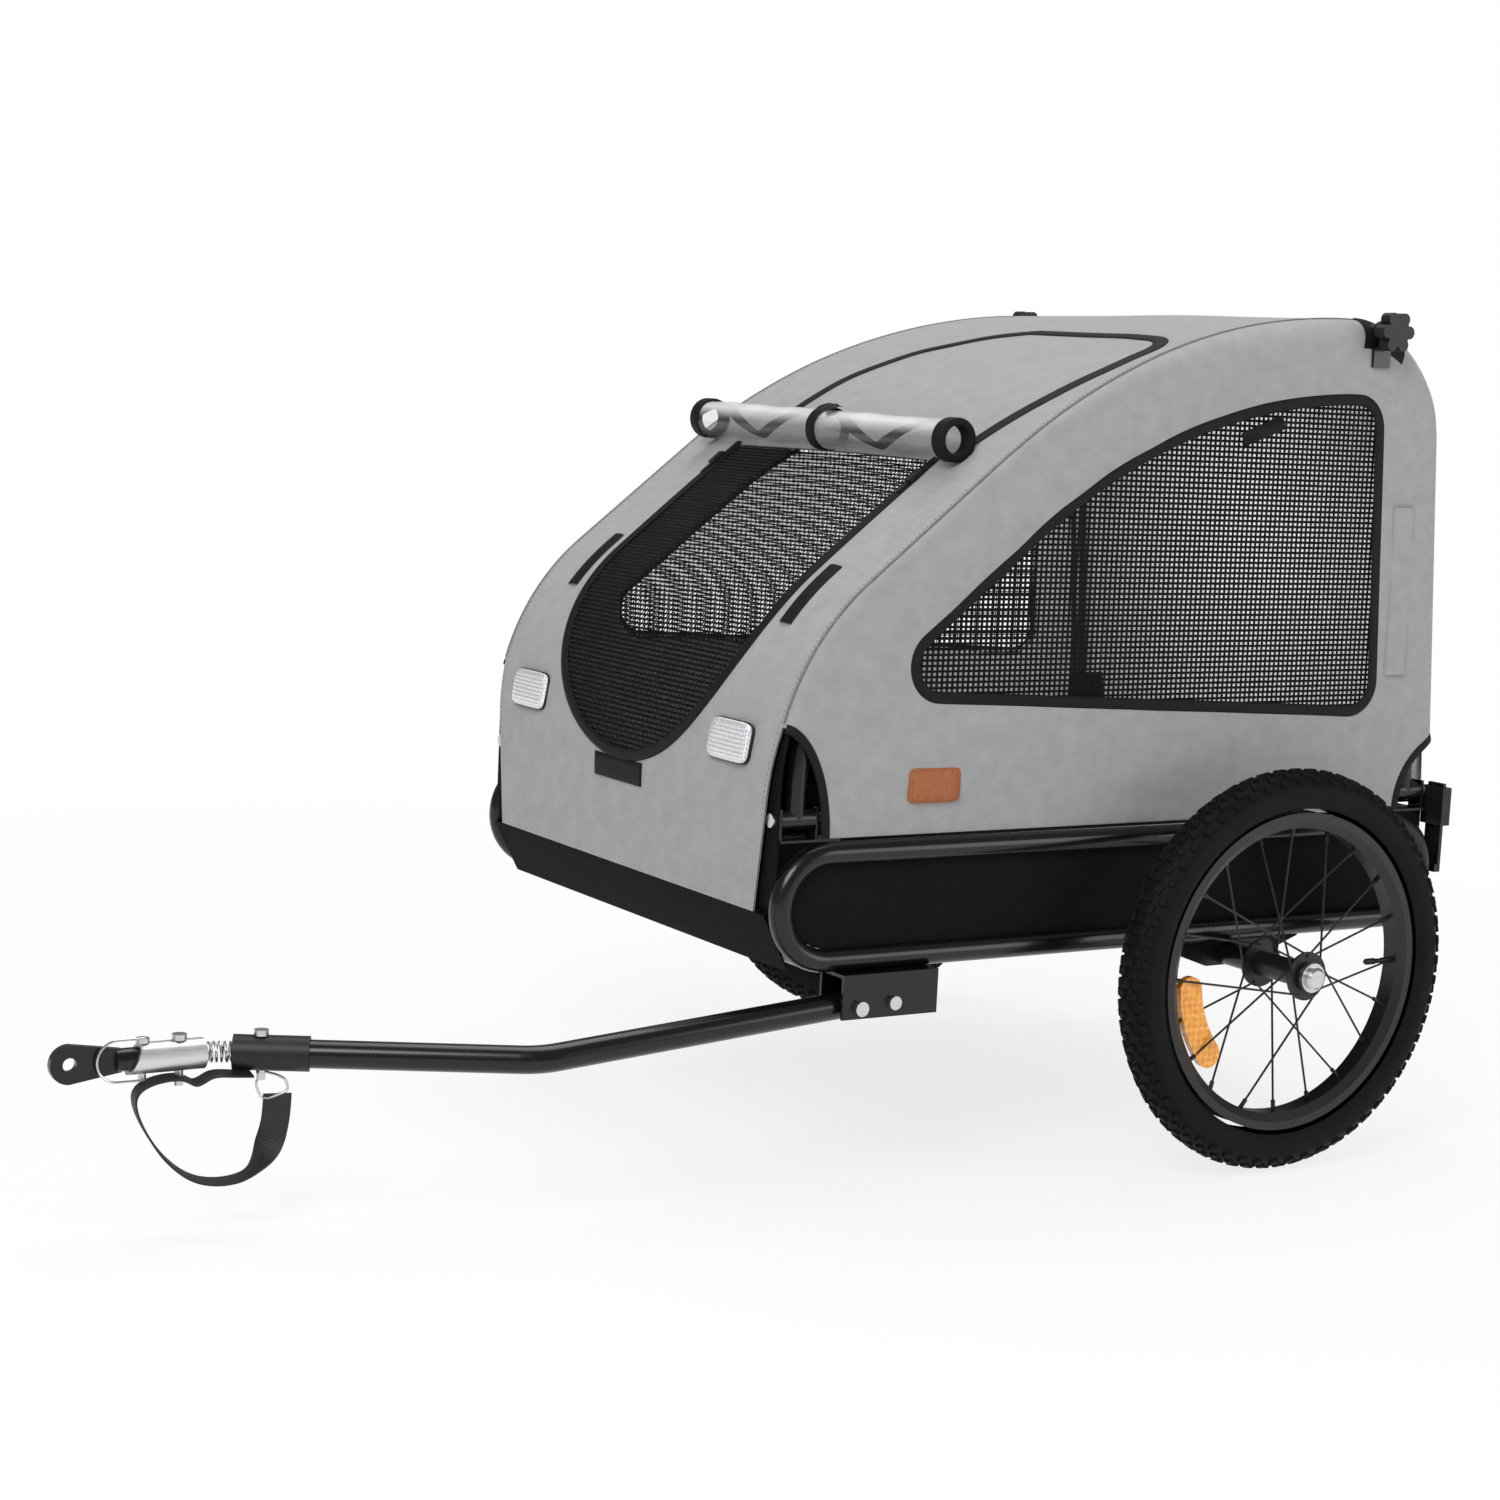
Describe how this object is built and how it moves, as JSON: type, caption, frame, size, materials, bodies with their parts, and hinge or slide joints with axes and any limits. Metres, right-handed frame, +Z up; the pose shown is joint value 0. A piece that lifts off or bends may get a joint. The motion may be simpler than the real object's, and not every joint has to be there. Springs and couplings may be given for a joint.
{
  "type": "dog bicycle trailer",
  "caption": "Folding two-wheeled dog trailer with a grey cloth cabin, mesh windows, spoked wheels, a bent drawbar and a sprung hitch for a bicycle axle.",
  "frame": {"origin": "on the road under the middle of the overall length, on the centre plane of the cabin and wheels", "axes": "+X forward towards the bicycle, +Y to the trailer left, +Z up"},
  "size_m": [1.4556, 0.8544, 0.848],
  "materials": {
    "painted_frame": "satin black powder coat",
    "grey_cover": "matte mottled grey coated cloth",
    "black_cloth": "matte black coated cloth",
    "black_mesh": "black open mesh",
    "webbing": "black woven strap",
    "clear_film": "rolled film with a dark edge",
    "tyre": "moulded tread",
    "black_rim": "satin black",
    "bright_steel": "bright zinc and chrome",
    "bare_alloy": "bare brushed alloy",
    "bearing_steel": "ground",
    "black_plastic": "moulded black",
    "clear_reflector": "clear prism lens",
    "red_reflector": "red prism lens",
    "amber_reflector": "orange prism lens"
  },
  "bodies": {
    "chassis": {"side_rail_left": "painted_frame", "side_rail_right": "painted_frame", "lower_panels": "black_cloth", "cross_tubes": "painted_frame", "floor_panel": "black_cloth", "front_apron": "black_cloth", "rear_apron": "black_cloth", "wheel_brackets": "painted_frame", "drawbar_bracket": "painted_frame", "drawbar_pivot_bolt": "bright_steel", "hinge_brackets": "painted_frame", "hinge_bolts": "bright_steel", "latch_bars": "painted_frame", "roof_cover": "grey_cover", "front_mesh": "black_mesh", "front_reflectors": "clear_reflector", "rain_cover_roll": "clear_film", "rear_crossbar": "painted_frame", "axle_left": "bright_steel", "axle_right": "bright_steel"},
    "rear_flap": {"rear_door": "grey_cover", "rear_reflectors": "red_reflector"},
    "left_side": {"side_bow_left": "painted_frame", "side_cover_left": "grey_cover", "window_net_left": "black_mesh"},
    "right_side": {"side_bow_right": "painted_frame", "side_cover_right": "grey_cover", "window_net_right": "black_mesh"},
    "left_wheel": {"tyre_left": "tyre", "rim_left": "black_rim", "spokes_left": "black_rim", "hub_left": "black_rim", "bearings_left": "bearing_steel", "wheel_reflector_left": "amber_reflector"},
    "right_wheel": {"tyre_right": "tyre", "rim_right": "black_rim", "spokes_right": "black_rim", "hub_right": "black_rim", "bearings_right": "bearing_steel", "wheel_reflector_right": "amber_reflector"},
    "left_knob": {"star_knob_left": "black_plastic"},
    "right_knob": {"star_knob_right": "black_plastic"},
    "left_latch": {"latch_sleeve_left": "black_plastic"},
    "right_latch": {"latch_sleeve_right": "black_plastic"},
    "left_button": {"release_button_left": "bright_steel"},
    "right_button": {"release_button_right": "bright_steel"},
    "lock_pin": {"drawbar_lock_pin": "bright_steel"},
    "drawbar": {"drawbar_tube": "painted_frame", "drawbar_end_sleeve": "black_plastic", "drawbar_sleeve_bolt": "bright_steel", "safety_strap": "webbing", "strap_ring": "bright_steel"},
    "hitch_flex": {"hitch_spring": "bright_steel"},
    "coupler": {"coupler_sleeve": "bare_alloy", "coupler_bolt": "bright_steel", "hitch_lug": "painted_frame"},
    "drop_pin": {"hitch_pin": "bright_steel"},
    "clip": {"pin_clip": "bright_steel"}
  },
  "joints": [
    {"name": "left_wheel_spin", "type": "hinge", "parent": "chassis", "child": "left_wheel", "pos_m": [-0.4422, 0.378, 0.2], "axis": [0, 1, 0], "continuous": true},
    {"name": "right_wheel_spin", "type": "hinge", "parent": "chassis", "child": "right_wheel", "pos_m": [-0.4422, -0.378, 0.2], "axis": [0, 1, 0], "continuous": true},
    {"name": "left_side_fold", "type": "hinge", "parent": "chassis", "child": "left_side", "pos_m": [-0.4422, 0.2772, 0.355], "axis": [1, 0, 0], "range_deg": [0, 90], "deforming": ["roof_cover", "front_mesh"]},
    {"name": "right_side_fold", "type": "hinge", "parent": "chassis", "child": "right_side", "pos_m": [-0.4422, -0.2772, 0.355], "axis": [1, 0, 0], "range_deg": [-75, 0], "deforming": ["roof_cover", "front_mesh"]},
    {"name": "rear_flap_open", "type": "hinge", "parent": "chassis", "child": "rear_flap", "pos_m": [-0.71849, 0, 0.341], "axis": [0, -1, 0], "range_deg": [0, 120]},
    {"name": "left_knob_turn", "type": "hinge", "parent": "chassis", "child": "left_knob", "pos_m": [-0.5922, 0.305, 0.8293], "axis": [0, 1, 0], "range_deg": [0, 720]},
    {"name": "right_knob_turn", "type": "hinge", "parent": "chassis", "child": "right_knob", "pos_m": [-0.5922, -0.305, 0.8293], "axis": [0, 1, 0], "range_deg": [0, 720]},
    {"name": "left_latch_slide", "type": "slide", "parent": "chassis", "child": "left_latch", "axis": [0, 0, 1], "range_m": [-0.03, 0]},
    {"name": "right_latch_slide", "type": "slide", "parent": "chassis", "child": "right_latch", "axis": [0, 0, 1], "range_m": [-0.03, 0]},
    {"name": "left_release_press", "type": "slide", "parent": "chassis", "child": "left_button", "axis": [0, -1, 0], "range_m": [0, 0.003], "stiffness_N_per_m": 400},
    {"name": "right_release_press", "type": "slide", "parent": "chassis", "child": "right_button", "axis": [0, 1, 0], "range_m": [0, 0.003], "stiffness_N_per_m": 400},
    {"name": "lock_pin_pull", "type": "slide", "parent": "chassis", "child": "lock_pin", "axis": [0, 1, 0], "range_m": [0, 0.06]},
    {"name": "drawbar_fold", "type": "hinge", "parent": "chassis", "child": "drawbar", "pos_m": [-0.0242, 0.29, 0.184], "axis": [0, 1, 0], "range_deg": [0, 170], "deforming": ["safety_strap", "strap_ring"]},
    {"name": "hitch_yaw", "type": "hinge", "parent": "drawbar", "child": "hitch_flex", "pos_m": [0.57991, 0.1652, 0.15506], "axis": [0, 0, 1], "range_deg": [-30, 30], "stiffness_Nm_per_rad": 60, "deforming": ["hitch_spring", "safety_strap"]},
    {"name": "hitch_pitch", "type": "hinge", "parent": "hitch_flex", "child": "coupler", "pos_m": [0.57991, 0.1652, 0.15506], "axis": [0, 1, 0], "range_deg": [-25, 25], "stiffness_Nm_per_rad": 60, "deforming": ["hitch_spring", "safety_strap"]},
    {"name": "drop_pin_lift", "type": "slide", "parent": "coupler", "child": "drop_pin", "axis": [0, 0, 1], "range_m": [0, 0.05]},
    {"name": "pin_clip_swing", "type": "hinge", "parent": "coupler", "child": "clip", "pos_m": [0.6468, 0.17108, 0.17366], "axis": [1, 0, 0], "range_deg": [0, 120]}
  ]
}
